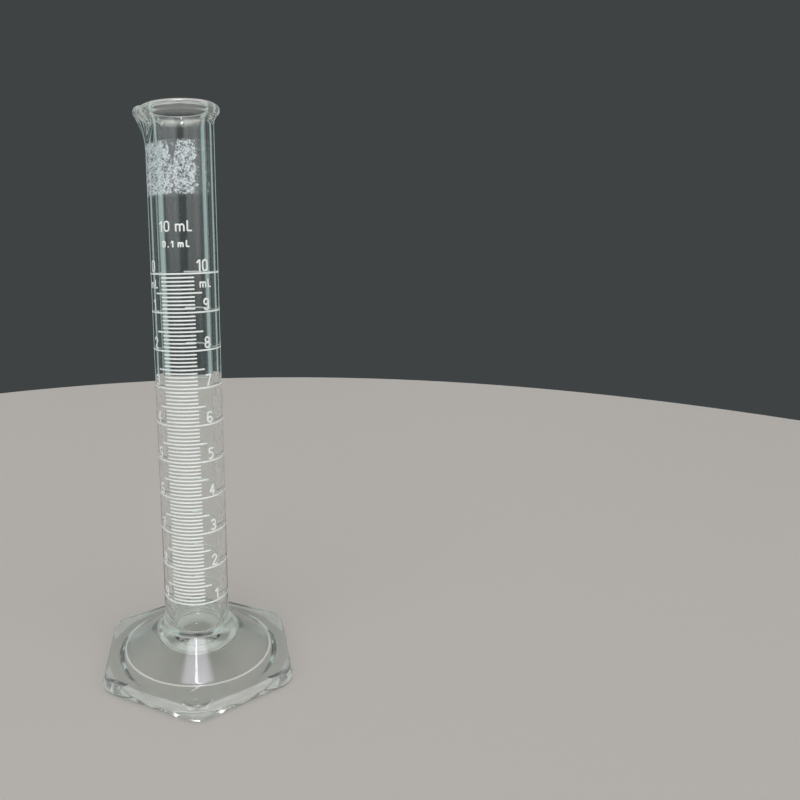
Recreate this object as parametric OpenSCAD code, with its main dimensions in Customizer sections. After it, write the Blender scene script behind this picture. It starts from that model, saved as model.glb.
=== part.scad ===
// Graduated cylinder of clear borosilicate glass, 10 mL in steps of 0.1 mL.
// A thick-walled tube with a beaded, spouted mouth is fused to a pressed hexagonal foot with a hollow
// underside. A white enamel double scale and a marking spot are fired onto the tube.
// The foot stands on the plane z = 0, with a corner towards -Y, and the tube's axis is the Z axis.

/* [Tube] */
// Outer diameter of the tube
tube_d = 16; // [15:0.25:18]
// Diameter of the bore, which sets the spacing of the graduations
bore_d = 12; // [11.5:0.25:13]
// Radius of the round edge of the bore's floor
floor_fillet = 3; // [2.5:0.25:4]
// Length of plain tube from the highest graduation to the top of the mouth
head_length = 38; // [34:0.5:46]

/* [Mouth] */
// Radius of the bead's round section
bead_r = 1.35; // [1.1:0.05:1.5]
// How far the bead stands out beyond the tube
bead_proud = 1.4; // [1:0.05:1.6]
// Radius of the flare at the bore's mouth
flare_r = 5; // [4:0.5:8]
// Radius of the hollow between the bead and the tube
throat_r = 3; // [2:0.5:5]
// Radius of the spout's channel
spout_r = 3.1; // [2.6:0.1:3.6]
// Thickness of glass around the spout's channel
spout_wall = 1.6; // [1.4:0.1:2]
// How far the spout's tip stands out beyond the tube
spout_proud = 2.9; // [2.5:0.1:3.5]
// How far the bead gets thinner along the spout
spout_bead_step = 0.15; // [0.1:0.05:0.25]
// How far the spout leans outwards, in degrees
spout_lean = 16; // [12:1:20]

/* [Foot] */
// Greatest width of the hexagonal foot across its flats
foot_flats = 46; // [44:0.2:52]
// Radius of the foot's six upright corners
foot_corner_r = 5.75; // [5:0.25:8]
// Height of the foot's edge
foot_edge_h = 3.9; // [3.4:0.1:5]
// Height at which the foot is widest, above which its sides lean inwards
foot_waist = 1.3; // [1.2:0.1:1.6]
// How far each side leans inwards on its way to the top of the edge
foot_draft = 0.6; // [0.4:0.05:0.9]
// Diameter of the dome that rises from the foot
dome_d = 36.8; // [35:0.2:38]
// Slope of the dome, in degrees
dome_slope = 33; // [30:0.5:35]
// Radius of the hollow neck between the dome and the tube
neck_r = 1.6; // [1:0.1:3]
// Diameter of the hollow underside at the rim that the foot stands on
hollow_d = 40; // [38:0.2:41]
// Thickness of glass between the dome and the hollow underside
foot_wall = 3.1; // [2.6:0.1:3.4]
// Width of the hollow's sloped lip
hollow_lip = 0.9; // [0.6:0.1:1.2]
// Height of the hollow's sloped lip
hollow_lip_h = 1.25; // [1:0.05:1.5]
// Width of the sloped weld round the tube's closed end
weld_w = 2.2; // [1.8:0.1:2.6]
// How much narrower than the tube its closed end is, on each side
plug_inset = 0.3; // [0.2:0.1:0.6]
// Height of the tube's closed end above the surface that the foot stands on
plug_z = 4.6; // [4:0.1:5]
// Thickness of glass under the bore's floor
floor_thick = 4.5; // [4:0.1:6]

/* [Scale] */
// Capacity at the highest graduation, in millilitres
capacity_ml = 10; // [6:1:12]
// Lowest graduation, in millilitres
lowest_ml = 1; // [1:1:2]
// Thickness of the enamel
enamel_t = 0.06; // [0.04:0.01:0.2]
// Width of a graduation line and of a numeral's stroke
line_w = 0.36; // [0.25:0.01:0.4]
// Angle from the scale's middle to the end of a short line, in degrees
short_span = 28; // [20:1:30]
// Angle from the scale's middle to the end of a half-millilitre line, in degrees
half_span = 41; // [36:1:42]
// Angle from the scale's middle to the left end of a ring, in degrees
ring_left = 93; // [80:1:100]
// Angle from the scale's middle to the right end of a ring, in degrees
ring_right = 195; // [150:1:200]
// Angle from the scale's middle to the middle of each column of numerals, in degrees
column_angle = 49.5; // [49:0.5:55]
// Height of a numeral
digit_h = 2.8; // [2.2:0.1:3]
// Height of the unit marks
unit_h = 2; // [1.6:0.1:2.2]
// Height of the capacity legend's figures
legend_h = 2.5; // [2:0.1:3]
// Height of the division legend's figures
small_legend_h = 1.6; // [1.4:0.1:2]
// Height of the capacity legend above the highest graduation
legend_rise = 9.4; // [9:0.1:11]
// Height of the division legend above the highest graduation
small_legend_rise = 5.9; // [5:0.1:6.5]
// Gap between the highest graduation and the unit marks below it
unit_gap = 1.3; // [1:0.1:1.6]
// Turn of the spout and the print against the foot, in degrees
print_turn = -12; // [-30:1:30]

/* [Marking spot] */
// Height of the marking spot
spot_h = 12.4; // [8:0.1:13]
// Angle from the scale's middle to the side of the marking spot, in degrees
spot_span = 74; // [50:1:80]
// Distance from the top of the mouth down to the marking spot
spot_drop = 8.4; // [8:0.1:10]

/* [Hidden] */
$fn = 96;

tube_r = tube_d / 2;
bore_r = bore_d / 2;

// The foot stands on z = 0. Its dome slopes up to the neck, whose circle touches the dome and the tube.
dome_r = dome_d / 2;
dome_rise = tan(dome_slope);
function dome_z(r) = foot_edge_h + (dome_r - r) * dome_rise;
neck_c = tube_r + neck_r;
neck_z = dome_z(neck_c) + neck_r / cos(dome_slope);
neck_touch = neck_c - neck_r * sin(dome_slope);

// The foot's outline: half its width, and the place of a round corner's centre. The bevel along the flats
// is wide enough for two of them to meet inside the round corner.
foot_apothem = foot_flats / 2;
corner_reach = (foot_apothem - foot_corner_r) / cos(30);
foot_bevel = 0.16 * foot_corner_r;

// The hollow underside follows the dome, a wall's thickness below it, down to its lip
hollow_r = hollow_d / 2;
function hollow_z(r) = dome_z(r) - foot_wall / cos(dome_slope);
lip_r = hollow_r - hollow_lip;
// The tube's closed end shows under the dome, with a sloped weld around it
plug_r = tube_r - plug_inset;
weld_r = tube_r + weld_w;

// The bore's floor and the graduations. A millilitre is 1000 cubic millimetres, so the bore's area
// sets the spacing. The graduations lie higher by what the floor's round edge takes away: the area
// between a quarter circle and its square, carried round the axis at the area's own centroid.
floor_z = plug_z + floor_thick;
bore_area = PI * bore_r * bore_r;
spandrel = (1 - PI / 4) * floor_fillet * floor_fillet;
spandrel_r = bore_r - floor_fillet * (10 - 3 * PI) / (12 - 3 * PI);
fillet_loss = spandrel * 2 * PI * spandrel_r;
ml_step = 1000 / bore_area;
zero_z = floor_z + fillet_loss / bore_area;
function ml_z(ml) = zero_z + ml * ml_step;
tenths = [for (t = [lowest_ml * 10:capacity_ml * 10]) t];

// The mouth. The throat's circle touches the tube and the bead.
top_z = ml_z(capacity_ml) + head_length;
bead_c = tube_r + bead_proud - bead_r;
bead_z = top_z - bead_r;
throat_c = tube_r + throat_r;
throat_z = bead_z - sqrt(pow(throat_r + bead_r, 2) - pow(throat_c - bead_c, 2));
flare_out = bead_c - bead_r - bore_r + 0.1;
flare_z = bead_z - sqrt(pow(flare_r, 2) - pow(flare_r - flare_out, 2));
spout_outer = spout_r + spout_wall;
spout_c = tube_r + spout_proud - spout_outer;
spout_length = 3 * tube_r;
spout_bead_r = bead_r - spout_bead_step;

// Foot

// The foot's hexagon with round corners
module foot_outline() {
    for (turn = [0:60:120])
        rotate(turn) square([foot_flats, 2 * corner_reach * sin(30)], center = true);
    for (turn = [30:60:330])
        rotate(turn) translate([corner_reach, 0]) circle(foot_corner_r);
}

// A section that gives a pair of flats their bevels and their lean. Its corners lie clear of the plate, so
// each of its sides crosses the plate's faces at an angle.
module flats_section() {
    lean = foot_draft / (foot_edge_h - foot_waist);
    tip_z = (foot_bevel + lean * foot_waist) / (1 + lean);
    clear = foot_bevel / 2;
    shoulder = foot_apothem - lean * (foot_edge_h - foot_bevel - foot_waist);
    side = [[foot_apothem - foot_bevel - clear, -clear], [foot_apothem - foot_bevel + tip_z, tip_z],
            [shoulder, foot_edge_h - foot_bevel], [shoulder - foot_bevel - clear, foot_edge_h + clear]];
    polygon(concat(side, [for (i = [3:-1:0]) [-side[i].x, side[i].y]]));
}

// The hexagonal plate, whose flats lean inwards and are bevelled
module foot_plate() {
    intersection() {
        linear_extrude(foot_edge_h) foot_outline();
        for (turn = [0:60:120])
            rotate(turn) rotate([90, 0, 0]) linear_extrude(2 * foot_flats, center = true) flats_section();
    }
}

// Half section of the dome and its neck
module dome_section() {
    difference() {
        polygon([[0, 0.5], [dome_r, 0.5], [dome_r, foot_edge_h], [neck_touch, dome_z(neck_touch)],
                 [neck_c, neck_z], [0, neck_z]]);
        translate([neck_c, neck_z]) circle(neck_r);
    }
}

// Half section of the hollow underside
module hollow_section() {
    polygon([[0, -1], [hollow_r, -1], [hollow_r, 0], [lip_r, hollow_lip_h], [weld_r, hollow_z(weld_r)],
             [plug_r, plug_z], [0, plug_z]]);
}

// Mouth

// Half section of the tube with its bead and throat
module tube_section() {
    difference() {
        union() {
            translate([0, plug_z]) square([tube_r, bead_z - plug_z]);
            polygon([[tube_r - 1, bead_z], [bead_c, bead_z], [throat_c, throat_z], [tube_r - 1, throat_z]]);
        }
        translate([throat_c, throat_z]) circle(throat_r);
    }
    translate([bead_c, bead_z]) circle(bead_r);
}

// Half section of the bore, with the round edge of its floor and its flared mouth
module bore_section() {
    translate([0, floor_z + floor_fillet]) square([bore_r, head_length + capacity_ml * ml_step]);
    translate([0, floor_z]) square([bore_r - floor_fillet, floor_fillet + 1]);
    translate([bore_r - floor_fillet, floor_z + floor_fillet]) circle(floor_fillet);
    difference() {
        translate([0, flare_z]) square([bore_r + flare_out, bead_z - flare_z + 1]);
        translate([bore_r + flare_r, flare_z]) circle(flare_r);
    }
}

// A round bar along the spout, which leans towards -X
module spout_bar(radius) {
    translate([-spout_c, 0, bead_z]) rotate([0, -spout_lean, 0])
        translate([0, 0, -spout_length]) cylinder(r = radius, h = spout_length + 6);
}

// The spout's outer wall, below the bead
module spout_body() {
    intersection() {
        spout_bar(spout_outer);
        translate([0, 0, bead_z - spout_length]) cylinder(r = 2 * tube_r, h = spout_length);
    }
}

// The bead along the spout's edge
module spout_bead() {
    translate([-spout_c, 0, bead_z]) rotate_extrude()
        translate([spout_outer - spout_bead_r + spout_bead_step, 0]) circle(spout_bead_r);
}

module glass_cylinder() {
    color([0.85, 0.92, 0.9, 0.4]) {
        difference() {
            union() {
                foot_plate();
                rotate_extrude() dome_section();
                rotate_extrude() tube_section();
                rotate(print_turn) {
                    spout_body();
                    spout_bead();
                }
            }
            rotate_extrude() hollow_section();
            rotate_extrude() bore_section();
            rotate(print_turn) spout_bar(spout_r);
        }
    }
}

// Print. Angles run from the scale's middle, which faces -Y before the turn, and are positive to the right.

// A band of enamel on the tube
module band(z, from, to, height) {
    rotate(print_turn) translate([0, 0, z - height / 2])
        rotate_extrude(angle = to - from, start = from - 90)
            translate([tube_r, 0]) square([enamel_t, height]);
}

module millilitre_rings() {
    color("white") for (t = tenths) if (t % 10 == 0) band(ml_z(t / 10), -ring_left, ring_right, line_w);
}

module half_millilitre_lines() {
    color("white") for (t = tenths) if (t % 10 == 5) band(ml_z(t / 10), -half_span, half_span, line_w);
}

module tenth_millilitre_lines() {
    color("white") for (t = tenths) if (t % 5 != 0) band(ml_z(t / 10), -short_span, short_span, line_w);
}

module marking_spot() {
    color("white") band(top_z - spot_drop - spot_h / 2, -spot_span, spot_span, spot_h);
}

// A straight stroke with round ends
module stroke(a, b) {
    d = b - a;
    translate(a) rotate(atan2(d.y, d.x)) translate([0, -line_w / 2]) square([norm(d), line_w]);
    for (p = [a, b]) translate(p) circle(line_w / 2);
}

// A round stroke about a centre, from one angle to a larger one
module bow(centre, r, from = 0, to = 360) {
    fan = [for (i = [0:8]) let (a = from + (to - from) * i / 8) 2 * r * [cos(a), sin(a)]];
    translate(centre) {
        intersection() {
            difference() {
                circle(r + line_w / 2);
                circle(r - line_w / 2);
            }
            if (to - from < 360) polygon(concat([[0, 0]], fan));
        }
        if (to - from < 360)
            for (a = [from, to]) translate(r * [cos(a), sin(a)]) circle(line_w / 2);
    }
}

// Width of a character's strokes, in shares of their height
function glyph_width(c) = c == "m" ? 0.85 : c == "." ? 0 : c == "1" ? 0.25 : c == "L" ? 0.42 : 0.52;

// A character made of strokes that are h high, drawn from its left end along its foot
module glyph(c, h) {
    w = glyph_width(c) * h;
    r = w / 2;
    if (c == "0") {
        bow([r, h - r], r, 0, 180);
        bow([r, r], r, 180, 360);
        for (x = [0, w]) stroke([x, r], [x, h - r]);
    }
    if (c == "1") {
        stroke([w, 0], [w, h]);
        stroke([w, h], [0, 0.78 * h]);
    }
    if (c == "2") {
        bow([r, h - r], r, -40, 170);
        stroke([r + r * cos(-40), h - r + r * sin(-40)], [0, 0]);
        stroke([0, 0], [w, 0]);
    }
    if (c == "3") {
        bow([r, 0.76 * h], 0.24 * h, -90, 150);
        bow([r, 0.26 * h], 0.26 * h, -150, 90);
    }
    if (c == "4") {
        stroke([0.72 * w, 0], [0.72 * w, h]);
        stroke([0.72 * w, h], [0, 0.3 * h]);
        stroke([0, 0.3 * h], [w, 0.3 * h]);
    }
    if (c == "5") {
        bow([0.4 * w, 0.3 * h], 0.3 * h, -120, 120);
        stroke([0.4 * w + 0.3 * h * cos(120), 0.3 * h + 0.3 * h * sin(120)], [0.1 * w, h]);
        stroke([0.1 * w, h], [w, h]);
    }
    if (c == "6") {
        bow([r, r], r);
        bow([r, h - r], r, 40, 180);
        stroke([0, r], [0, h - r]);
    }
    if (c == "7") {
        stroke([0, h], [w, h]);
        stroke([w, h], [0.3 * w, 0]);
    }
    if (c == "8") {
        bow([r, 0.76 * h], 0.24 * h);
        bow([r, 0.26 * h], 0.26 * h);
    }
    if (c == "9") translate([w, h]) rotate(180) glyph("6", h);
    if (c == "m") {
        for (i = [0, 1]) bow([(0.25 + 0.5 * i) * w, 0.45 * h], 0.25 * w, 0, 180);
        for (i = [0:2]) stroke([0.5 * i * w, 0], [0.5 * i * w, i == 0 ? 0.66 * h : 0.45 * h]);
    }
    if (c == "L") {
        stroke([0, h], [0, 0]);
        stroke([0, 0], [w, 0]);
    }
    if (c == ".") circle(line_w / 2);
}

// Where each character of a word starts, and how long the word is
function glyph_start(word, i, h) =
    i == 0 ? 0 : glyph_start(word, i - 1, h) + glyph_step(word[i - 1], h);
function glyph_step(c, h) = c == " " ? 0.4 * h : glyph_width(c) * h + 2.2 * line_w;
function word_width(word, h) = glyph_start(word, len(word) - 1, h) + glyph_width(word[len(word) - 1]) * h;

// A word on the tube: each character is cut through the enamel's shell square to the tube.
// z is its foot, and middle is the angle of its middle.
module word(text, z, middle, height) {
    h = height - line_w;
    for (i = [0:len(text) - 1]) if (text[i] != " ") {
        w = glyph_width(text[i]) * h;
        along = glyph_start(text, i, h) + w / 2 - word_width(text, h) / 2;
        rotate(print_turn + middle + along / tube_r * 180 / PI)
            translate([0, 0, z + line_w / 2]) rotate([90, 0, 0])
                linear_extrude(tube_r + 1) translate([-w / 2, 0]) glyph(text[i], h);
    }
}

// Keeps only the enamel's thickness of what is drawn inside it
module enamel() {
    color("white") intersection() {
        rotate_extrude() translate([tube_r, neck_z]) square([enamel_t, top_z - neck_z]);
        union() children();
    }
}

module rising_numerals() {
    enamel() for (ml = [lowest_ml:capacity_ml]) {
        label = str(ml);
        // Words of two figures end where the single ones do
        shift = (word_width(label, digit_h - line_w) - glyph_width("0") * (digit_h - line_w)) / 2;
        word(label, ml_z(ml) + line_w, column_angle - shift / tube_r * 180 / PI, digit_h);
    }
}

module falling_numerals() {
    enamel() for (ml = [lowest_ml:capacity_ml])
        word(str(capacity_ml - ml), ml_z(ml) + line_w, -column_angle, digit_h);
}

module unit_marks() {
    enamel() for (side = [-1, 1])
        word("mL", ml_z(capacity_ml) - unit_gap - unit_h, side * column_angle, unit_h);
}

module capacity_legend() {
    enamel() {
        word(str(capacity_ml, " mL"), ml_z(capacity_ml) + legend_rise, 0, legend_h);
        word("0.1 mL", ml_z(capacity_ml) + small_legend_rise, 0, small_legend_h);
    }
}

glass_cylinder();
millilitre_rings();
half_millilitre_lines();
tenth_millilitre_lines();
rising_numerals();
falling_numerals();
unit_marks();
capacity_legend();
marking_spot();
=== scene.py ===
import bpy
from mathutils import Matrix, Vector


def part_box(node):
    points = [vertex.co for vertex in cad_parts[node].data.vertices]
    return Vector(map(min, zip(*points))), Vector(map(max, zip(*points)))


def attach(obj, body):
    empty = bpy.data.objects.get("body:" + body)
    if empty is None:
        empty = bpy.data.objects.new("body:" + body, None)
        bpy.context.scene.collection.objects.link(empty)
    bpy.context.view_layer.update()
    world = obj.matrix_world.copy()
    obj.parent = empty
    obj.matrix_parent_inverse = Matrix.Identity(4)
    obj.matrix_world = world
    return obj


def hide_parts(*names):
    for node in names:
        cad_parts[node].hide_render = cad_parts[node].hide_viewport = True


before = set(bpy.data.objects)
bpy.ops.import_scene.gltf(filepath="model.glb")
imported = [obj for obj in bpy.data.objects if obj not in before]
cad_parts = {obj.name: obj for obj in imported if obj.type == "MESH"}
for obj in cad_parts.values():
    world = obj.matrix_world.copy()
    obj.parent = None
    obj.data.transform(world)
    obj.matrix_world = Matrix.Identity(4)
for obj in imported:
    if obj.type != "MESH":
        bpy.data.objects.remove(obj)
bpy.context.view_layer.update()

import math

import bpy
import numpy as np
from bpy.props import FloatProperty, FloatVectorProperty, IntProperty, PointerProperty
from mathutils import Matrix, Vector

bl_info = {
    "name": "Graduated Cylinder",
    "version": (1, 0, 0),
    "blender": (4, 5, 0),
    "location": "View3D > Sidebar > Cylinder",
    "description": "Builds the glass, the enamel print and the studio of a small graduated cylinder",
    "category": "Add Mesh",
}

MM = 0.001
FULL = 2 * math.pi
FRONT = -math.pi / 2  # the direction of -Y, where the scale faces before its turn
CAD_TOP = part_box("glass_cylinder")[1][2]
CAPACITY = 10  # millilitres at the highest graduation
TENTHS = range(10, 10 * CAPACITY + 1)  # the graduations from 1 mL up, in tenths of a millilitre
NECK_ROWS = 6 * MM  # how far up the tube the foot's rows reach
MOUTH_DEPTH = 14 * MM  # how far below the bead's middle the mouth's rows reach


def linear(text):
    """An sRGB hex colour as linear RGB: c / 12.92 where c is dark, else ((c + 0.055) / 1.055) ** 2.4."""
    c = np.array([int(text[i:i + 2], 16) for i in (1, 3, 5)]) / 255
    return tuple(np.where(c <= 0.04045, c / 12.92, ((c + 0.055) / 1.055) ** 2.4).tolist())


def length(name, text, millimetres):
    """A length that the user can change, given in millimetres."""
    return FloatProperty(name=name, description=text, default=millimetres * MM, unit="LENGTH", precision=5)


def angle(name, text, degrees):
    """An angle that the user can change, given in degrees."""
    return FloatProperty(name=name, description=text, default=math.radians(degrees), unit="ROTATION")


def colour(name, text, code):
    """A colour that the user can change, given as sRGB hex."""
    return FloatVectorProperty(name=name, description=text, default=linear(code), subtype="COLOR",
                               min=0, max=1)


class GlassSettings(bpy.types.PropertyGroup):
    tube_radius: length("Tube radius", "Outer radius of the tube", 8.015)
    bore_radius: length("Bore radius", "Radius of the bore", 6.0)
    bore_floor: length("Bore floor", "Height of the bore's floor", 9.1)
    floor_round: length("Floor rounding", "Reach of the round edge of the bore's floor", 3.1)
    top: FloatProperty(name="Top", description="Height of the mouth", default=CAD_TOP, unit="LENGTH",
                       precision=5)
    bead_radius: length("Bead radius", "Radius of the bead's round section", 1.35)
    bead_centre: length("Bead circle", "Distance of the bead's middle from the axis", 8.05)
    throat_radius: length("Throat radius", "Radius of the hollow between the bead and the tube", 3.0)
    flare_radius: length("Flare radius", "Radius of the flare at the bore's mouth", 5.0)
    spout_axis: length("Spout axis", "Distance of the spout's middle from the tube's axis, at the bead", 6.2)
    channel_radius: length("Channel radius", "Radius of the spout's channel", 3.1)
    spout_wall: length("Spout wall", "Thickness of glass around the channel", 1.6)
    spout_reach: length("Spout reach", "How far below the bead the spout bends back into the tube", 13)
    foot_flats: length("Foot width", "Greatest width of the hexagonal foot across its flats", 46)
    foot_corner: length("Foot corner radius", "Radius of the foot's upright corners", 5.75)
    foot_edge: length("Foot edge", "Height of the foot's edge", 3.9)
    foot_waist: length("Foot waist", "Height at which the foot is widest", 1.2)
    foot_draft: length("Foot draft", "How far its sides lean inwards above the waist", 0.6)
    foot_tuck: length("Foot tuck", "How far its sides draw in below the waist", 0.5)
    dome_radius: length("Dome radius", "Radius at which the dome rises from the foot", 18.4)
    dome_slope: angle("Dome slope", "Slope of the dome", 33)
    hollow_radius: length("Hollow radius", "Radius of the hollow underside at its lip", 20.0)
    hollow_lip: length("Hollow lip", "Width of the hollow's sloped lip", 0.9)
    hollow_lip_height: length("Hollow lip height", "Height of the hollow's sloped lip", 1.26)
    hollow_crown: length("Hollow crown", "Greatest height of the hollow underside", 6.2)
    weld_width: length("Weld width", "How far the weld round the closed end reaches beyond the tube", 1.1)
    plug_height: length("Closed end", "Height of the tube's closed end", 4.6)
    plug_inset: length("Closed end inset", "How much smaller the closed end's radius is than the tube's", 1.0)
    columns: IntProperty(name="Columns", description="Steps round the axis", default=420, min=60, max=720)
    tint: colour("Tint", "Colour that the glass gives to light", "#FAFCFB")
    # This colour also paints a highlight: a thin pale ring where the dome meets the foot's plate
    bloom: colour("Bloom", "Colour of the little light that dust, the weld and wear scatter", "#D9DDD0")
    depth_tint: colour("Depth tint", "Colour that light keeps on its way through thick glass", "#E9F6EE")


class PrintSettings(bpy.types.PropertyGroup):
    embed: length("Embedding", "How far the enamel reaches into the glass", 0.02)
    thickness: length("Enamel thickness", "How far the enamel stands out of the tube", 0.035)
    line_width: length("Line width", "Width of a line and of a letter's stroke", 0.36)
    numeral_width: length("Numeral stroke", "Width of a numeral's stroke in the two columns", 0.43)
    first_mark: length("First mark", "Height of the lowest graduation", 18.514)
    step: length("Step", "Distance between two millilitres", 8.8419)
    turn: angle("Turn", "Turn of the scale and the spout against the foot", -12)
    short_span: angle("Short line", "Angle from the scale's middle to the end of a short line", 28)
    half_span: angle("Half line", "Angle from the scale's middle to the end of a half-millilitre line", 41)
    ring_left: angle("Ring left", "Angle from the scale's middle to the left end of a ring", 93)
    ring_right: angle("Ring right", "Angle from the scale's middle to the right end of a ring", 195)
    column_angle: angle("Numeral column", "Angle from the scale's middle to a column of numerals", 49.5)
    digit_height: length("Numeral height", "Height of a numeral", 2.8)
    unit_height: length("Unit height", "Height of the unit marks", 2.0)
    unit_gap: length("Unit gap", "Gap between the highest graduation and the unit marks below it", 1.3)
    legend_height: length("Legend height", "Height of the capacity legend", 2.5)
    legend_rise: length("Legend rise", "Height of the capacity legend above the highest graduation", 9.4)
    small_legend_height: length("Small legend height", "Height of the division legend", 1.6)
    small_legend_rise: length("Small legend rise",
                              "Height of the division legend above the highest graduation", 5.9)
    spot_height: length("Spot height", "Height of the marking spot", 12.4)
    spot_drop: length("Spot drop", "Distance from the mouth down to the marking spot", 8.4)
    spot_span: angle("Spot span", "Angle from the scale's middle to the side of the marking spot", 74)
    white: colour("White", "Colour of the fired enamel", "#EDF0EE")


class StageSettings(bpy.types.PropertyGroup):
    floor_radius: length("Floor radius", "Radius of the round table top", 390)
    floor_colour: colour("Floor", "Colour of the table top", "#AEABA5")
    floor_drop: length("Floor drop", "Gap between the foot and the table top", 0.05)
    backdrop: colour("Backdrop", "Colour of the studio behind the table", "#3F4344")
    panel: colour("Panel", "Colour of the tall soft panels round the studio", "#A6B8B6")
    cove: colour("Cove", "Colour of the studio where its walls meet its ceiling", "#B4B2AC")
    ceiling: colour("Ceiling", "Colour of the studio above", "#7D7C78")
    lens: length("Lens", "Focal length on a sensor of 36 mm", 31.18)


# Meshes


def make_piece(name, points, faces, material, slot, *nodes):
    """Puts vertices and faces into a mesh object at the origin, turned outwards by the sign of its volume."""
    volume = 0.0
    for block in faces:
        for i in range(1, block.shape[1] - 1):
            a, b, c = (points[block[:, k]] for k in (0, i, i + 1))
            volume += np.einsum("ij,ij->", a, np.cross(b, c))
    if volume < 0:
        faces = [block[:, ::-1] for block in faces]
    mesh = bpy.data.meshes.new(name)
    mesh.from_pydata(points.tolist(), [], [face for block in faces for face in block.tolist()])
    mesh.shade_smooth()
    mesh.materials.append(material)
    piece = bpy.data.objects.new(name, mesh)
    bpy.context.scene.collection.objects.link(piece)
    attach(piece, "root")
    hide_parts(*nodes)
    return piece


def closed_grid(grid):
    """Vertices and faces of a surface on a grid (rows, columns, 3) that closes round its columns, and whose
    first and last rows are single points."""
    rows, columns = grid.shape[:2]
    points = np.concatenate([grid[:1, 0], grid[1:-1].reshape(-1, 3), grid[-1:, 0]])
    ids = 1 + np.arange((rows - 2) * columns).reshape(rows - 2, columns)
    near, far = ids, np.roll(ids, -1, axis=1)
    quads = np.stack([near[:-1], far[:-1], far[1:], near[1:]], -1).reshape(-1, 4)
    start = np.stack([np.zeros_like(near[0]), far[0], near[0]], -1)
    end = np.stack([np.full_like(near[-1], len(points) - 1), near[-1], far[-1]], -1)
    return points, [quads, start, end]


def rounded_path(corners, reach, steps):
    """A path (columns, rows, 2) along straight lines whose inner corners are round: each corner c becomes the
    parabola (1 - t)^2 (c + back) + 2 t (1 - t) c + t^2 (c + on), where back and on reach the given distance
    along the lines."""
    t = np.linspace(0, 1, steps)[:, None]
    path = [corners[:, :1]]
    for i, r in enumerate(reach, 1):
        c = corners[:, i:i + 1]
        back, on = corners[:, i - 1:i] - c, corners[:, i + 1:i + 2] - c
        back = back * (r / np.linalg.norm(back, axis=2, keepdims=True))
        on = on * (r / np.linalg.norm(on, axis=2, keepdims=True))
        path.append(c + (1 - t) ** 2 * back + t ** 2 * on)
    return np.concatenate(path + [corners[:, -1:]], axis=1)


def arc(centre, radius, start, end, steps):
    """Points (steps, 2) on a circle, from one angle to another, in degrees."""
    a = np.radians(np.linspace(start, end, steps))
    return np.stack([centre[0] + radius * np.cos(a), centre[1] + radius * np.sin(a)], -1)


# Glass


def around(corners, theta):
    """A path's corners (r, z) for each angle, as an array (columns, corners, 2)."""
    one = np.ones_like(theta)
    return np.stack([np.stack([r * one, z * one], -1) for r, z in corners], axis=1)


def foot_outline(theta, flats, corner):
    """Distance from the axis to a hexagon with round corners. Along a flat it is apothem / cos(phi), where
    phi is the angle from the flat's middle, and round a corner it is where the ray meets the corner's
    circle."""
    apothem = flats / 2
    half = math.radians(30)  # half of the angle that a flat takes up
    reach = (apothem - corner) / math.cos(half)
    phi = np.abs((theta + half) % (2 * half) - half)
    psi = half - phi
    flat = apothem / np.cos(phi)
    bend = reach * np.cos(psi) + np.sqrt(np.maximum(corner ** 2 - (reach * np.sin(psi)) ** 2, 0))
    return np.where(apothem * np.tan(phi) < reach * math.sin(half), flat, bend)


def foot_rows(s, theta):
    """The hollow underside, the foot and its dome, up to the tube: a path of straight lines with round
    corners for each angle. The lines to the foot's edge follow the hexagon, and all others are round."""
    edge = lambda inset: foot_outline(theta, s.foot_flats - 2 * inset, s.foot_corner - inset)
    neck = s.foot_edge + (s.dome_radius - s.tube_radius) * math.tan(s.dome_slope)
    corners = [(0, s.plug_height), (s.tube_radius - s.plug_inset, s.plug_height),
               (s.tube_radius + s.weld_width, s.hollow_crown),
               (s.hollow_radius - s.hollow_lip, s.hollow_lip_height), (s.hollow_radius, 0),
               (edge(s.foot_tuck), 0), (edge(0), s.foot_waist), (edge(s.foot_draft), s.foot_edge),
               (s.dome_radius, s.foot_edge), (s.tube_radius, neck), (s.tube_radius, neck + NECK_ROWS)]
    # How far the rounding of each inner corner reaches along its two lines
    reach = np.array([0.5, 0.7, 0.8, 0.35, 0.6, 0.6, 1.1, 1.2, 1.0]) * MM
    return rounded_path(around(corners, theta), reach, 9)


def smooth_max(a, b, k):
    """The larger of two values, with a rounded step where they differ by less than k:
    max(a, b) + k h^2 / 4, where h = max(1 - |a - b| / k, 0)."""
    return np.maximum(a, b) + k * np.maximum(1 - np.abs(a - b) / k, 0) ** 2 / 4


def bar_side(s, off, z, radius, low):
    """Distance from the tube's axis to the far side of a round bar along the spout, seen at an angle off the
    spout: x cos(off) + sqrt(radius^2 - (x sin(off))^2). The bar bends in: x + radius = low + (tip - low)
    (1 - depth / reach)^2, where the depth is taken from the bead."""
    left = np.clip(1 - (s.top - s.bead_radius - z) / s.spout_reach, 0, 1) ** 2
    x = low + (s.spout_axis + radius - low) * left - radius
    room = radius ** 2 - (x * np.sin(off)) ** 2
    return np.where((room > 0) & (np.cos(off) > 0), x * np.cos(off) + np.sqrt(np.maximum(room, 0)), 0)


def off_spout(theta, spout_at):
    """Angle from the spout, between -pi and pi."""
    return (theta - spout_at + math.pi) % FULL - math.pi


def outer_side(s, ring, off, z):
    """The outside of the mouth: the larger of the ring's radius and the spout's bar, softly joined."""
    soft = 0.9 * MM
    return smooth_max(ring, bar_side(s, off, z, s.channel_radius + s.spout_wall, s.tube_radius - soft), soft)


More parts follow.
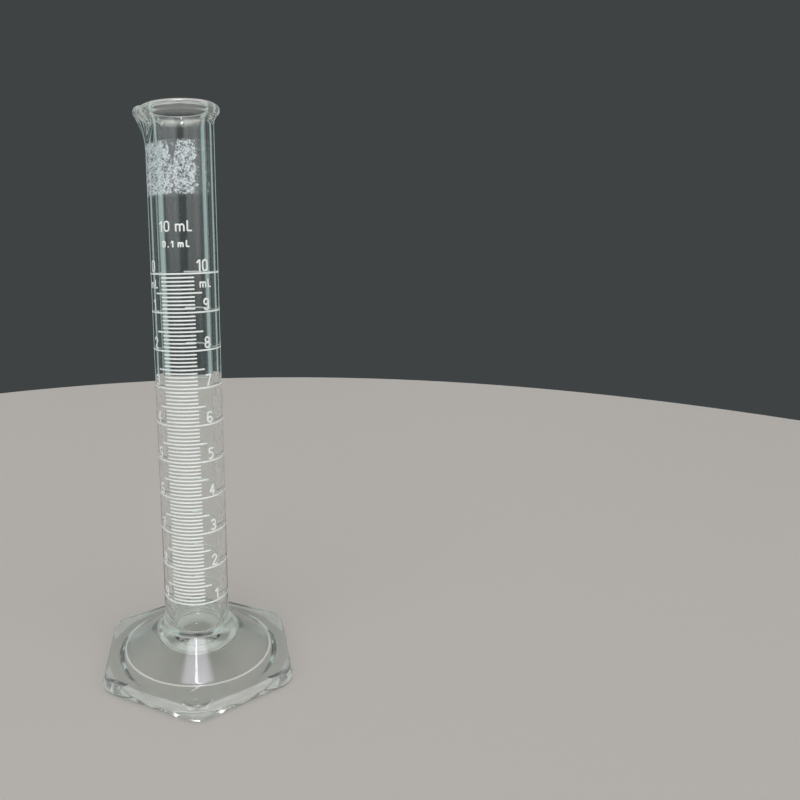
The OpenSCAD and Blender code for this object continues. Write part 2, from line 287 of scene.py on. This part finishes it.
def mouth_rows(s, theta, spout_at):
    """The mouth, from the tube's outside over the bead to the bore. Outside and inside, each row is the
    larger of the ring's radius and the spout's side at that height. A half ellipse joins both over the top:
    (middle + half cos t, bead's middle + bead's radius sin t)."""
    off = off_spout(theta, spout_at)[:, None]
    bead_z = s.top - s.bead_radius
    # The ring's throat touches the tube and the bead
    out = s.tube_radius + s.throat_radius
    rise = math.sqrt((s.throat_radius + s.bead_radius) ** 2 - (out - s.bead_centre) ** 2)
    lean = math.degrees(math.atan2(rise, s.bead_centre - out))
    wall = np.linspace(bead_z - MOUTH_DEPTH, bead_z - rise, 25)[:-1]
    wall = np.stack([np.full_like(wall, s.tube_radius), wall], -1)
    ring = np.concatenate([wall, arc((out, bead_z - rise), s.throat_radius, 180, lean, 14),
                           arc((s.bead_centre, bead_z), s.bead_radius, lean - 180, 0, 12)[1:]])
    outside = np.stack([outer_side(s, ring[:, 0], off, ring[:, 1]), ring[:, 1] + 0 * off], -1)
    # The bore's flare ends a little outside the bead's inner side. Its rows lie closer near the bead.
    down = bead_z - MOUTH_DEPTH * np.linspace(0, 1, 42) ** 1.3
    widening = s.bead_centre - s.bead_radius + 0.08 * MM - s.bore_radius
    start = bead_z - math.sqrt(s.flare_radius ** 2 - (s.flare_radius - widening) ** 2)
    flare = s.bore_radius + s.flare_radius - np.sqrt(s.flare_radius ** 2 - np.maximum(down - start, 0) ** 2)
    soft = 0.4 * MM
    inside = smooth_max(flare, bar_side(s, off, down, s.channel_radius, s.bore_radius - soft), soft)
    inside = np.stack([inside, down + 0 * off], -1)
    t = np.radians(np.linspace(0, 180, 23))[1:-1]
    middle = (outside[:, -1:, 0] + inside[:, :1, 0]) / 2
    half = (outside[:, -1:, 0] - inside[:, :1, 0]) / 2
    over = np.stack([middle + half * np.cos(t), bead_z + s.bead_radius * np.sin(t) + 0 * half], -1)
    return np.concatenate([outside, over, inside], axis=1)


def glass_surface(s, spout_at):
    """The whole glass as one closed surface. Its first parameter runs along a profile, from the middle of the
    underside over the foot, the tube and the mouth to the middle of the bore's floor, and its second round
    the axis. A point is (r cos theta, r sin theta, z)."""
    theta = np.arange(s.columns) * FULL / s.columns
    start = s.top - MOUTH_DEPTH - 2 * MM
    bore = around([(s.bore_radius, start), (s.bore_radius, s.bore_floor), (0, s.bore_floor)], theta)
    bore = rounded_path(bore, [s.floor_round], 14)
    path = np.concatenate([foot_rows(s, theta), mouth_rows(s, theta, spout_at), bore], axis=1)
    r, z = path[:, :, 0].T, path[:, :, 1].T
    return closed_grid(np.stack([r * np.cos(theta), r * np.sin(theta), z], -1))


# Print


def strokes(paths, p, width, steps):
    """Closed flat strips of enamel. Each path (points, 2) gives the distance round the tube and the height.
    It is stepped evenly, and the strip's section, which is crowned and sinks into the glass, is carried
    along it. Past both ends its width is h sqrt(1 - d^2), which rounds them."""
    half = width / 2
    crown, sole = p.thickness, -p.embed
    section = np.array([[-1, sole], [-1, 0.6 * crown], [-0.75, crown],
                        [0.75, crown], [1, 0.6 * crown], [1, sole]])
    sides = len(section)
    cap = np.sin(np.radians([30, 60, 90]))
    points, quads, ends, base = [], [], [], 0
    for path in paths:
        leg = np.linalg.norm(np.diff(path, axis=0), axis=1)
        along = np.concatenate([[0], np.cumsum(leg)])
        total = along[-1]
        at = np.concatenate([-half * cap[::-1], np.linspace(0, total, steps), total + half * cap])
        clip = np.clip(at, 0, total)
        middle = np.stack([np.interp(clip, along, path[:, i]) for i in (0, 1)], -1)
        tangent = np.gradient(middle[len(cap):-len(cap)], axis=0)
        tangent /= np.linalg.norm(tangent, axis=1, keepdims=True)
        tangent = np.pad(tangent, ((len(cap), len(cap)), (0, 0)), mode="edge")
        middle = middle + tangent * (at - clip)[:, None]
        over = np.abs(at - clip) / half
        wide = half * np.sqrt(np.maximum(1 - over ** 2, 0.02))
        normal = np.stack([-tangent[:, 1], tangent[:, 0]], -1)
        flat = middle[:, None] + normal[:, None] * (section[None, :, :1] * wide[:, None, None])
        height = np.broadcast_to(section[:, 1:], (len(at), sides, 1))
        points.append(np.concatenate([flat, height], -1).reshape(-1, 3))
        ids = base + np.arange(len(at) * sides).reshape(-1, sides)
        on = np.roll(ids, -1, axis=1)
        quads.append(np.stack([ids[:-1], on[:-1], on[1:], ids[1:]], -1).reshape(-1, 4))
        ends += [ids[0, ::-1], ids[-1]]
        base += ids.size
    points = np.concatenate(points)
    ends = np.array(ends)
    caps = np.concatenate([ends[:, [0, 1, 2, 3]], ends[:, [0, 3, 4, 5]]])
    return points, [np.concatenate(quads), caps]


def wrap(points, p, g):
    """Wraps flat points (distance round, height, distance out) round the tube, with the scale's turn:
    angle = distance / radius. Where the spout's root swells the tube, they follow it."""
    a = FRONT + p.turn + points[:, 0] / g.tube_radius
    r = outer_side(g, g.tube_radius, off_spout(a, math.pi + p.turn), points[:, 1]) + points[:, 2]
    return np.stack([r * np.cos(a), r * np.sin(a), points[:, 1]], -1)


def bow(x, y, r, start, end):
    """Points on a round stroke."""
    return arc((x, y), r, start, end, 16)


def glyph(c, w, h):
    """A character as strokes, each a path of points, in a box w wide and h high."""
    r = w / 2
    line = lambda *p: np.array(p, float)
    if c == "0":
        return [np.concatenate([bow(r, h - r, r, 0, 180), bow(r, r, r, 180, 360), [[w, h - r]]])]
    if c == "1":
        return [line((w, 0), (w, h), (0, 0.78 * h))]
    if c == "2":
        return [np.concatenate([bow(r, h - r, r, 170, -40), [[0, 0], [w, 0]]])]
    if c == "3":
        return [bow(r, 0.76 * h, 0.24 * h, 150, -90), bow(r, 0.26 * h, 0.26 * h, 90, -150)]
    if c == "4":
        return [line((0.72 * w, 0), (0.72 * w, h), (0, 0.3 * h), (w, 0.3 * h))]
    if c == "5":
        return [np.concatenate([[[w, h], [0.1 * w, h]], bow(0.4 * w, 0.3 * h, 0.3 * h, 120, -120)])]
    if c in "69":
        six = [bow(r, r, r, 0, 360), np.concatenate([bow(r, h - r, r, 40, 180), [[0, r]]])]
        return six if c == "6" else [[w, h] - path for path in six]
    if c == "7":
        return [line((0, h), (w, h), (0.3 * w, 0))]
    if c == "8":
        return [bow(r, 0.76 * h, 0.24 * h, 0, 360), bow(r, 0.26 * h, 0.26 * h, 0, 360)]
    if c == "m":
        arches = [np.concatenate([bow((0.25 + 0.5 * i) * w, 0.45 * h, 0.25 * w, 180, 0),
                                  [[(0.5 + 0.5 * i) * w, 0]]]) for i in (0, 1)]
        return arches + [line((0, 0), (0, 0.66 * h))]
    if c == "L":
        return [line((0, h), (0, 0), (w, 0))]
    # A point is a stroke so short that its round ends make a dot
    return [line((-0.02 * MM, 0), (0.02 * MM, 0))]


# Widths of characters as shares of their height
WIDTHS = {"m": 0.85, ".": 0, "1": 0.25, "L": 0.42}
DIGIT_WIDTH = 0.52
SPACE_WIDTH = 0.4
LETTER_GAP = 2.2  # in line widths


def word(text, z, middle, height, p, g, ends_with=None):
    """The strokes of a word on the tube, with its middle at an angle and its foot at a height. Where
    ends_with gives another word, both end at the same place."""
    h = height - p.line_width
    size = lambda c: WIDTHS.get(c, DIGIT_WIDTH) * h
    step = lambda c: SPACE_WIDTH * h if c == " " else size(c) + LETTER_GAP * p.line_width
    span = lambda t: sum(step(c) for c in t[:-1]) + size(t[-1])
    x = middle * g.tube_radius - span(text) / 2
    if ends_with:
        x -= (span(text) - span(ends_with)) / 2
    paths = []
    for c in text:
        if c != " ":
            paths += [path + [x, z + p.line_width / 2] for path in glyph(c, size(c), h)]
        x += step(c)
    return paths


def mark(p, ml):
    """Height of the graduation for a volume in millilitres."""
    return p.first_mark + (ml - 1) * p.step


def scale_lines(p, g, tenths, left, right):
    """Straight paths round the tube, one for each graduation."""
    return [np.array([(-left * g.tube_radius, mark(p, t / 10)), (right * g.tube_radius, mark(p, t / 10))])
            for t in tenths]


def spot_surface(p, g):
    """The marking spot: a thin closed patch on a grid of u round the tube and v up it. Its outer side stands
    out by the enamel's thickness times (1 - u^16)(1 - v^16), its edge sinks into the glass, and its inner
    side closes it."""
    u, v = np.meshgrid(np.linspace(-1, 1, 121), np.linspace(-1, 1, 41))
    swell = (1 - np.abs(u) ** 16) * (1 - np.abs(v) ** 16)
    x, z = u * p.spot_span * g.tube_radius, g.top - p.spot_drop - p.spot_height / 2 + v * p.spot_height / 2
    sunk = 0.2 * p.embed
    outer = np.stack([x, z, (p.thickness + sunk) * swell - sunk], -1)
    inner = np.stack([x, z, np.full_like(u, -p.embed)], -1)
    rows, columns = u.shape
    points = np.concatenate([outer.reshape(-1, 3), inner.reshape(-1, 3)])
    top = np.arange(rows * columns).reshape(rows, columns)
    low = top + rows * columns
    rim = np.concatenate([top[0], top[1:, -1], top[-1, -2::-1], top[-2:0:-1, 0]])
    near, far = rim, np.roll(rim, -1)
    sides = np.stack([far, near, near + rows * columns, far + rows * columns], -1)
    sheet = lambda ids: np.stack([ids[:-1, :-1], ids[:-1, 1:], ids[1:, 1:], ids[1:, :-1]], -1).reshape(-1, 4)
    return points, [sheet(top), sheet(low)[:, ::-1], sides]


def spot_coat(points, p, g):
    """How much of the coat is left at each of the marking spot's flat points. Steps, 1 / (1 + exp(-1.2 x)),
    bound the dense coat, from 68 degrees left of the scale's middle to 39 right of it, and a faint one, up
    to 66. The sides waver with the height. A bare wedge opens in the dense coat from 0.6 of its height to
    the top, and below that the coat is a little thinner along the same line."""
    worn, fresh = 0.14, 0.34  # what is left where the coat is gone, and what a whole coat adds
    v = (points[:, 1] - (g.top - p.spot_drop - p.spot_height)) / p.spot_height
    waver = 2.0 * np.sin(23 * v) + 1.6 * np.sin(41 * v + 2) + 1.0 * np.sin(97 * v + 5)
    a = np.degrees(points[:, 0] / g.tube_radius) + waver
    step = lambda x: 1 / (1 + np.exp(-1.2 * np.clip(x, -20, 20)))
    dense = step(a + 68) * step(39 - a)
    faint = 0.5 * step(66 - a)
    wedge = step(1.5 * (np.maximum(20 * (v - 0.6), -1) - np.abs(a - waver - 1)))
    edge = step(60 * (v - 0.02 - 0.006 * waver)) * step(60 * (0.99 - v))
    return fresh * np.maximum(dense * (1 - wedge), faint) * edge + worn


# Materials


def add_node(tree, kind, values=(), **settings):
    """Adds a node to a tree. values maps each input to a constant or to the output that feeds it."""
    node = tree.nodes.new(kind)
    for name, value in settings.items():
        setattr(node, name, value)
    for socket, value in dict(values).items():
        if isinstance(value, bpy.types.NodeSocket):
            tree.links.new(value, node.inputs[socket])
        else:
            node.inputs[socket].default_value = value
    return node


def new_material(name):
    """An empty node material and its tree."""
    material = bpy.data.materials.new(name)
    material.use_nodes = True
    material.node_tree.nodes.clear()
    return material, material.node_tree


def rgba(c):
    """A colour with full alpha."""
    return (*c, 1)


def band(tree, value, middle, half, fade):
    """1 where a value lies within half of the middle, falling to 0 over the fade, all in millimetres."""
    off = add_node(tree, "ShaderNodeMath", {0: value, 1: middle * MM}, operation="SUBTRACT")
    off = add_node(tree, "ShaderNodeMath", {0: off.outputs[0]}, operation="ABSOLUTE")
    return add_node(tree, "ShaderNodeMapRange", {"Value": off.outputs[0], "From Min": half * MM,
                                                 "From Max": (half + fade) * MM, "To Min": 1.0,
                                                 "To Max": 0.0}).outputs[0]


def borosilicate_glass(g):
    """Drawn and pressed borosilicate glass, fire-polished: clear, a little green where it is thick, and with
    faint streaks along the draw that bend what is seen through the tube."""
    material, tree = new_material("borosilicate_glass")
    place = add_node(tree, "ShaderNodeTexCoord").outputs["Object"]
    # Draw streaks: about 1.5 mm across and 60 mm long
    along = add_node(tree, "ShaderNodeMapping", {"Vector": place, "Scale": (600, 600, 16)}).outputs[0]
    streaks = add_node(tree, "ShaderNodeTexNoise", {"Vector": along, "Scale": 1.0, "Detail": 2.0})
    bump = add_node(tree, "ShaderNodeBump", {"Height": streaks.outputs["Fac"], "Strength": 0.06,
                                             "Distance": 0.04 * MM})
    # Handling leaves the surface a little less than perfectly smooth, in patches some millimetres across
    smears = add_node(tree, "ShaderNodeTexNoise", {"Vector": place, "Scale": 220.0, "Detail": 4.0})
    rough = add_node(tree, "ShaderNodeMapRange", {
        "Value": smears.outputs["Fac"], "From Min": 0.5, "From Max": 0.8, "To Min": 0.0, "To Max": 0.03})
    # Fine scratches and dust, up to 0.4 mm
    specks = add_node(tree, "ShaderNodeTexNoise", {"Vector": place, "Scale": 2600.0, "Detail": 3.0})
    haze_and_painted_highlight = add_node(tree, "ShaderNodeMapRange", {
        "Value": specks.outputs["Fac"], "From Min": 0.55, "From Max": 0.75,
        "To Min": 0.0, "To Max": 0.05}).outputs[0]
    # Zones that scatter a little pale green: the weld round the tube's closed end, the foot's pressed sides,
    # the bead, which wear has dulled, and a painted highlight, a thin pale ring where the dome meets the
    # foot's plate. Each has its middle, half width and fade across and up the axis, in millimetres, and the
    # share of light that it scatters.
    apart = add_node(tree, "ShaderNodeVectorMath", {0: place, 1: (1, 1, 0)}, operation="MULTIPLY")
    radius = add_node(tree, "ShaderNodeVectorMath", {0: apart.outputs[0]},
                      operation="LENGTH").outputs["Value"]
    height = add_node(tree, "ShaderNodeSeparateXYZ", {"Vector": place}).outputs["Z"]
    bead = (g.top - g.bead_radius) / MM
    for across, up, amount in (((7.0, 2.0, 0.6), (5.2, 0.8, 0.3), 0.4),
                               ((25.0, 2.2, 0.5), (1.6, 1.6, 0.6), 0.22),
                               ((10.1, 1.7, 0.8), (bead, 1.3, 0.9), 0.18),
                               # A painted highlight: a thin pale ring where the dome meets the foot's plate
                               ((18.3, 0.1, 0.2), (4.0, 0.3, 0.2), 0.38)):
        zone = add_node(tree, "ShaderNodeMath", {0: band(tree, radius, *across), 1: band(tree, height, *up)},
                        operation="MULTIPLY")
        haze_and_painted_highlight = add_node(tree, "ShaderNodeMath", {0: zone.outputs[0], 1: amount, 2: haze_and_painted_highlight},
                        operation="MULTIPLY_ADD").outputs[0]
    clear = add_node(tree, "ShaderNodeMath", {0: 1.0, 1: haze_and_painted_highlight}, operation="SUBTRACT")
    tint = add_node(tree, "ShaderNodeMix", {"Factor": haze_and_painted_highlight, "A": rgba(g.tint), "B": rgba(g.bloom)},
                    data_type="RGBA")
    shader = add_node(tree, "ShaderNodeBsdfPrincipled", {
        "Base Color": tint.outputs["Result"], "Roughness": rough.outputs[0], "IOR": 1.474,
        "Transmission Weight": clear.outputs[0], "Normal": bump.outputs[0]})
    # The light that the floor and the enamel get passes the glass straight, with a loss at each surface
    rays = add_node(tree, "ShaderNodeLightPath").outputs
    passes = add_node(tree, "ShaderNodeMath", {0: rays["Is Shadow Ray"], 1: rays["Is Diffuse Ray"]},
                      operation="MAXIMUM")
    straight = add_node(tree, "ShaderNodeBsdfTransparent", {"Color": rgba(linear("#EBEDEC"))})
    both = add_node(tree, "ShaderNodeMixShader", {
        0: passes.outputs[0], 1: shader.outputs[0], 2: straight.outputs[0]})
    depth = add_node(tree, "ShaderNodeVolumeAbsorption", {"Color": rgba(g.depth_tint), "Density": 14.0})
    add_node(tree, "ShaderNodeOutputMaterial", {"Surface": both.outputs[0], "Volume": depth.outputs[0]})
    return material


def fired_enamel(p):
    """White glass enamel, screened and fired on: opaque, satin, and slightly grainy from its frit."""
    material, tree = new_material("fired_white_enamel")
    place = add_node(tree, "ShaderNodeTexCoord").outputs["Object"]
    # The frit's grain, about 0.1 mm
    grain = add_node(tree, "ShaderNodeTexNoise", {"Vector": place, "Scale": 9000.0, "Detail": 2.0})
    tone = add_node(tree, "ShaderNodeMix", {
        "Factor": grain.outputs["Fac"], "A": rgba(linear("#DDE2E0")), "B": rgba(p.white)}, data_type="RGBA")
    bump = add_node(tree, "ShaderNodeBump", {
        "Height": grain.outputs["Fac"], "Strength": 0.25, "Distance": 0.02 * MM})
    shader = add_node(tree, "ShaderNodeBsdfPrincipled", {
        "Base Color": tone.outputs["Result"], "Roughness": 0.42, "Normal": bump.outputs[0]})
    add_node(tree, "ShaderNodeOutputMaterial", {"Surface": shader.outputs[0]})
    return material


def worn_enamel(p):
    """The marking spot's enamel, a thin matt coat for pencil, worn into crumbs with bare glass between."""
    material, tree = new_material("worn_white_enamel")
    place = add_node(tree, "ShaderNodeTexCoord").outputs["Object"]
    left = add_node(tree, "ShaderNodeAttribute", attribute_name="coat").outputs["Fac"]
    # Crumbs of 0.2 to 0.4 mm with crooked outlines, the screen's fainter dust between them, and patches of
    # about 1 mm in which more or less of the coat is left
    crumbs = add_node(tree, "ShaderNodeTexNoise", {
        "Vector": place, "Scale": 2500.0, "Detail": 4.0, "Roughness": 0.6, "Distortion": 0.4})
    dust = add_node(tree, "ShaderNodeTexNoise", {"Vector": place, "Scale": 9000.0, "Detail": 1.0})
    patches = add_node(tree, "ShaderNodeTexNoise", {"Vector": place, "Scale": 900.0, "Detail": 2.0})
    spread = add_node(tree, "ShaderNodeMath", {0: patches.outputs["Fac"], 1: 0.45, 2: left},
                      operation="MULTIPLY_ADD")
    both = add_node(tree, "ShaderNodeMath", {0: crumbs.outputs["Fac"], 1: spread.outputs[0]}, operation="ADD")
    cover = add_node(tree, "ShaderNodeMapRange", {
        "Value": both.outputs[0], "From Min": 1.12, "From Max": 1.28, "To Min": 0.0, "To Max": 0.8})
    thin = add_node(tree, "ShaderNodeMapRange", {
        "Value": dust.outputs["Fac"], "From Min": 0.4, "From Max": 0.7, "To Min": 0.0, "To Max": 0.3})
    thin = add_node(tree, "ShaderNodeMath", {0: thin.outputs[0], 1: left}, operation="MULTIPLY")
    alpha = add_node(tree, "ShaderNodeMath", {0: cover.outputs[0], 1: thin.outputs[0]}, operation="ADD")
    bump = add_node(tree, "ShaderNodeBump", {
        "Height": crumbs.outputs["Fac"], "Strength": 0.5, "Distance": 0.04 * MM})
    shader = add_node(tree, "ShaderNodeBsdfPrincipled", {
        "Base Color": rgba(linear("#D5DDE1")), "Roughness": 0.7, "Alpha": alpha.outputs[0],
        "Normal": bump.outputs[0]})
    add_node(tree, "ShaderNodeOutputMaterial", {"Surface": shader.outputs[0]})
    return material


# Operators


class BuildGlass(bpy.types.Operator):
    """Builds the tube, the mouth and the foot as one piece of glass"""
    bl_idname = "cylinder.build_glass"
    bl_label = "Build glass"

    def execute(self, context):
        g, p = context.scene.cylinder_glass, context.scene.cylinder_print
        points, faces = glass_surface(g, math.pi + p.turn)
        make_piece("glass_body", points, faces, borosilicate_glass(g), "glass", "glass_cylinder")
        return {"FINISHED"}


class BuildScale(bpy.types.Operator):
    """Builds the rings and the lines of the scale"""
    bl_idname = "cylinder.build_scale"
    bl_label = "Build scale"

    def execute(self, context):
        g, p = context.scene.cylinder_glass, context.scene.cylinder_print
        white = bpy.data.materials.get("fired_white_enamel") or fired_enamel(p)
        rings, halves = ([t for t in TENTHS if t % 10 == rest] for rest in (0, 5))
        others = [t for t in TENTHS if t % 5]
        # Each group's graduations, the angles of its ends, and the steps along a line
        for name, node, tenths, left, right, steps in (
                ("rings", "millilitre_rings", rings, p.ring_left, p.ring_right, 160),
                ("half_lines", "half_millilitre_lines", halves, p.half_span, p.half_span, 40),
                ("tenth_lines", "tenth_millilitre_lines", others, p.short_span, p.short_span, 28)):
            points, faces = strokes(scale_lines(p, g, tenths, left, right), p, p.line_width, steps)
            make_piece(name, wrap(points, p, g), faces, white, "enamel", node)
        return {"FINISHED"}


class BuildNumerals(bpy.types.Operator):
    """Builds both columns of numerals, the unit marks and the capacity legend"""
    bl_idname = "cylinder.build_numerals"
    bl_label = "Build numerals"

    def execute(self, context):
        g, p = context.scene.cylinder_glass, context.scene.cylinder_print
        white = bpy.data.materials.get("fired_white_enamel") or fired_enamel(p)
        rising, falling, units = [], [], []
        for ml in range(1, CAPACITY + 1):
            z = mark(p, ml) + p.line_width
            rising += word(str(ml), z, p.column_angle, p.digit_height, p, g, "0")
            falling += word(str(CAPACITY - ml), z, -p.column_angle, p.digit_height, p, g)
        highest = mark(p, CAPACITY)
        unit_foot = highest - p.unit_gap - p.unit_height
        for side in (-1, 1):
            units += word("mL", unit_foot, side * p.column_angle, p.unit_height, p, g)
        legend = word("%d mL" % CAPACITY, highest + p.legend_rise, 0, p.legend_height, p, g)
        legend += word("0.1 mL", highest + p.small_legend_rise, 0, p.small_legend_height, p, g)
        for name, node, paths, width in (("numerals_rising", "rising_numerals", rising, p.numeral_width),
                                         ("numerals_falling", "falling_numerals", falling, p.numeral_width),
                                         ("millilitre_signs", "unit_marks", units, p.line_width),
                                         ("legend", "capacity_legend", legend, p.line_width)):
            points, faces = strokes(paths, p, width, 24)
            make_piece(name, wrap(points, p, g), faces, white, "enamel", node)
        return {"FINISHED"}


class BuildSpot(bpy.types.Operator):
    """Builds the worn marking spot below the mouth"""
    bl_idname = "cylinder.build_spot"
    bl_label = "Build marking spot"

    def execute(self, context):
        g, p = context.scene.cylinder_glass, context.scene.cylinder_print
        points, faces = spot_surface(p, g)
        spot = make_piece("spot", wrap(points, p, g), faces, worn_enamel(p), "enamel", "marking_spot")
        coat = spot.data.attributes.new("coat", "FLOAT", "POINT")
        coat.data.foreach_set("value", spot_coat(points, p, g).astype(np.float32))
        return {"FINISHED"}


def add_lamp(name, place, target, size, power, tint):
    """A rectangular soft box that faces a point."""
    lamp = bpy.data.lights.new(name, "AREA")
    lamp.shape, lamp.size, lamp.size_y = "RECTANGLE", size[0], size[1]
    lamp.energy, lamp.color = power, linear(tint)
    holder = bpy.data.objects.new(name, lamp)
    holder.location = place
    holder.rotation_euler = (Vector(target) - Vector(place)).to_track_quat("-Z", "Y").to_euler()
    bpy.context.scene.collection.objects.link(holder)


def add_camera(lens):
    """The camera at the photograph's place, in the part's frame. Its place and turns were fitted to the
    rings, the tube's sides and the foot's outline."""
    azimuth, yaw, pitch, roll = map(math.radians, (1.90, 3.87, 8.22, -1.56))
    forward = Vector((math.sin(yaw) * math.cos(pitch), math.cos(yaw) * math.cos(pitch), -math.sin(pitch)))
    side = Vector((math.cos(yaw), -math.sin(yaw), 0))
    up = side.cross(forward)
    right = side * math.cos(roll) + up * math.sin(roll)
    up = up * math.cos(roll) - side * math.sin(roll)
    camera = bpy.data.objects.new("camera", bpy.data.cameras.new("camera"))
    place = Matrix((right, up, -forward)).transposed().to_4x4()
    place.translation = (0, -0.16536, 0.10312)
    camera.matrix_world = Matrix.Rotation(azimuth, 4, "Z") @ place
    camera.data.sensor_width, camera.data.lens = 36, lens * 1000
    camera.data.shift_x, camera.data.shift_y = 0.2075, -0.0625
    camera.data.clip_start = 0.005
    bpy.context.scene.collection.objects.link(camera)
    bpy.context.scene.camera = camera


def add_table(s):
    """The round table top, a flat disc just under the foot."""
    material, tree = new_material("table_laminate")
    shader = add_node(tree, "ShaderNodeBsdfPrincipled", {
        "Base Color": rgba(s.floor_colour), "Roughness": 0.65})
    add_node(tree, "ShaderNodeOutputMaterial", {"Surface": shader.outputs[0]})
    theta = np.linspace(0, FULL, 129)[:-1]
    rim = np.stack([s.floor_radius * np.cos(theta), s.floor_radius * np.sin(theta),
                    0 * theta - s.floor_drop], -1)
    mesh = bpy.data.meshes.new("table")
    mesh.from_pydata(rim.tolist(), [], [list(range(len(rim)))])
    mesh.materials.append(material)
    table = bpy.data.objects.new("table", mesh)
    bpy.context.scene.collection.objects.link(table)


def add_studio(s):
    """The world: a plain backdrop with soft panels, a cove and a ceiling, and three soft lights."""
    world = bpy.data.worlds.new("studio")
    bpy.context.scene.world = world
    world.use_nodes = True
    tree = world.node_tree
    tree.nodes.clear()
    way = add_node(tree, "ShaderNodeTexCoord").outputs["Generated"]
    rays = add_node(tree, "ShaderNodeLightPath").outputs
    axes = add_node(tree, "ShaderNodeSeparateXYZ", {"Vector": way}).outputs
    turn = add_node(tree, "ShaderNodeMath", {0: axes["Y"], 1: axes["X"]}, operation="ARCTAN2")
    for value, operation in ((4.0, "MULTIPLY"), (0.0, "SINE"), (0.0, "ABSOLUTE")):
        turn = add_node(tree, "ShaderNodeMath", {0: turn.outputs[0], 1: value}, operation=operation)
    tone = rgba(s.backdrop)
    # Eight tall panels stand round the backdrop, where |sin 4a| is near 1. Above them a cove brightens from
    # 15 to 44 degrees, and the ceiling over it is dimmer.
    for value, start, end, light in ((turn.outputs[0], 0.80, 0.96, rgba(s.panel)),
                                     (axes["Z"], 0.25, 0.70, rgba(s.cove)),
                                     (axes["Z"], 0.80, 0.90, rgba(s.ceiling))):
        share = add_node(tree, "ShaderNodeMapRange", {"Value": value, "From Min": start, "From Max": end},
                         interpolation_type="SMOOTHSTEP")
        tone = add_node(tree, "ShaderNodeMix", {"Factor": share.outputs[0], "A": tone, "B": light},
                        data_type="RGBA").outputs["Result"]
    # Three round soft lights are added, one overhead and two at the front, which light the print. Each has
    # its direction, its cosines at the edge and where it is full, and its colour. The studio that is seen
    # through glass is without them.
    shows = add_node(tree, "ShaderNodeMath", {0: 1.0, 1: rays["Is Transmission Ray"]}, operation="SUBTRACT")
    for aim, edge, full, light in (((-0.03, -0.14, 0.99), 0.960, 0.992, (5.8, 5.5, 6.4)),
                                   ((-0.50, -0.76, 0.42), 0.82, 0.95, (2.1, 2.12, 2.13)),
                                   ((0.62, -0.68, 0.40), 0.82, 0.95, (1.95, 1.93, 1.88))):
        near = add_node(tree, "ShaderNodeVectorMath", {0: way, 1: Vector(aim).normalized()},
                        operation="DOT_PRODUCT")
        glow = add_node(tree, "ShaderNodeMapRange", {
            "Value": near.outputs["Value"], "From Min": edge, "From Max": full, "To Max": shows.outputs[0]},
            interpolation_type="SMOOTHSTEP")
        tone = add_node(tree, "ShaderNodeMix", {"Factor": glow.outputs[0], "A": tone, "B": rgba(light)},
                        data_type="RGBA", blend_type="ADD").outputs["Result"]
    # The camera sees the plain backdrop everywhere
    studio = add_node(tree, "ShaderNodeBackground", {"Color": tone})
    plain = add_node(tree, "ShaderNodeBackground", {"Color": rgba(s.backdrop)})
    both = add_node(tree, "ShaderNodeMixShader", {0: rays["Is Camera Ray"], 1: studio.outputs[0],
                                                  2: plain.outputs[0]})
    add_node(tree, "ShaderNodeOutputWorld", {"Surface": both.outputs[0]})


class BuildStage(bpy.types.Operator):
    """Builds the table top, the studio, its lamp and the camera"""
    bl_idname = "cylinder.build_stage"
    bl_label = "Build stage"

    def execute(self, context):
        s = context.scene.cylinder_stage
        add_table(s)
        add_studio(s)
        add_lamp("ceiling_tube", (-0.03, -0.11, 0.75), (0, 0, 0.03), (0.03, 0.5), 0.6, "#FAF6FF")
        add_camera(s.lens)
        context.scene.view_settings.view_transform = "Standard"
        return {"FINISHED"}


class CylinderPanel(bpy.types.Panel):
    """Lists the steps that build the cylinder"""
    bl_idname = "VIEW3D_PT_cylinder"
    bl_label = "Graduated cylinder"
    bl_space_type = "VIEW_3D"
    bl_region_type = "UI"
    bl_category = "Cylinder"

    def draw(self, context):
        for step in OPERATORS:
            self.layout.operator(step.bl_idname)


SETTINGS = {"cylinder_glass": GlassSettings, "cylinder_print": PrintSettings, "cylinder_stage": StageSettings}
OPERATORS = (BuildGlass, BuildScale, BuildNumerals, BuildSpot, BuildStage)


def register():
    for cls in (*SETTINGS.values(), *OPERATORS, CylinderPanel):
        bpy.utils.register_class(cls)
    for name, cls in SETTINGS.items():
        setattr(bpy.types.Scene, name, PointerProperty(type=cls))


def unregister():
    for name in SETTINGS:
        delattr(bpy.types.Scene, name)
    for cls in (CylinderPanel, *OPERATORS[::-1], *SETTINGS.values()):
        bpy.utils.unregister_class(cls)


def main():
    register()
    bpy.ops.cylinder.build_glass()
    bpy.ops.cylinder.build_scale()
    bpy.ops.cylinder.build_numerals()
    bpy.ops.cylinder.build_spot()
    bpy.ops.cylinder.build_stage()


if __name__ == "__main__":
    main()
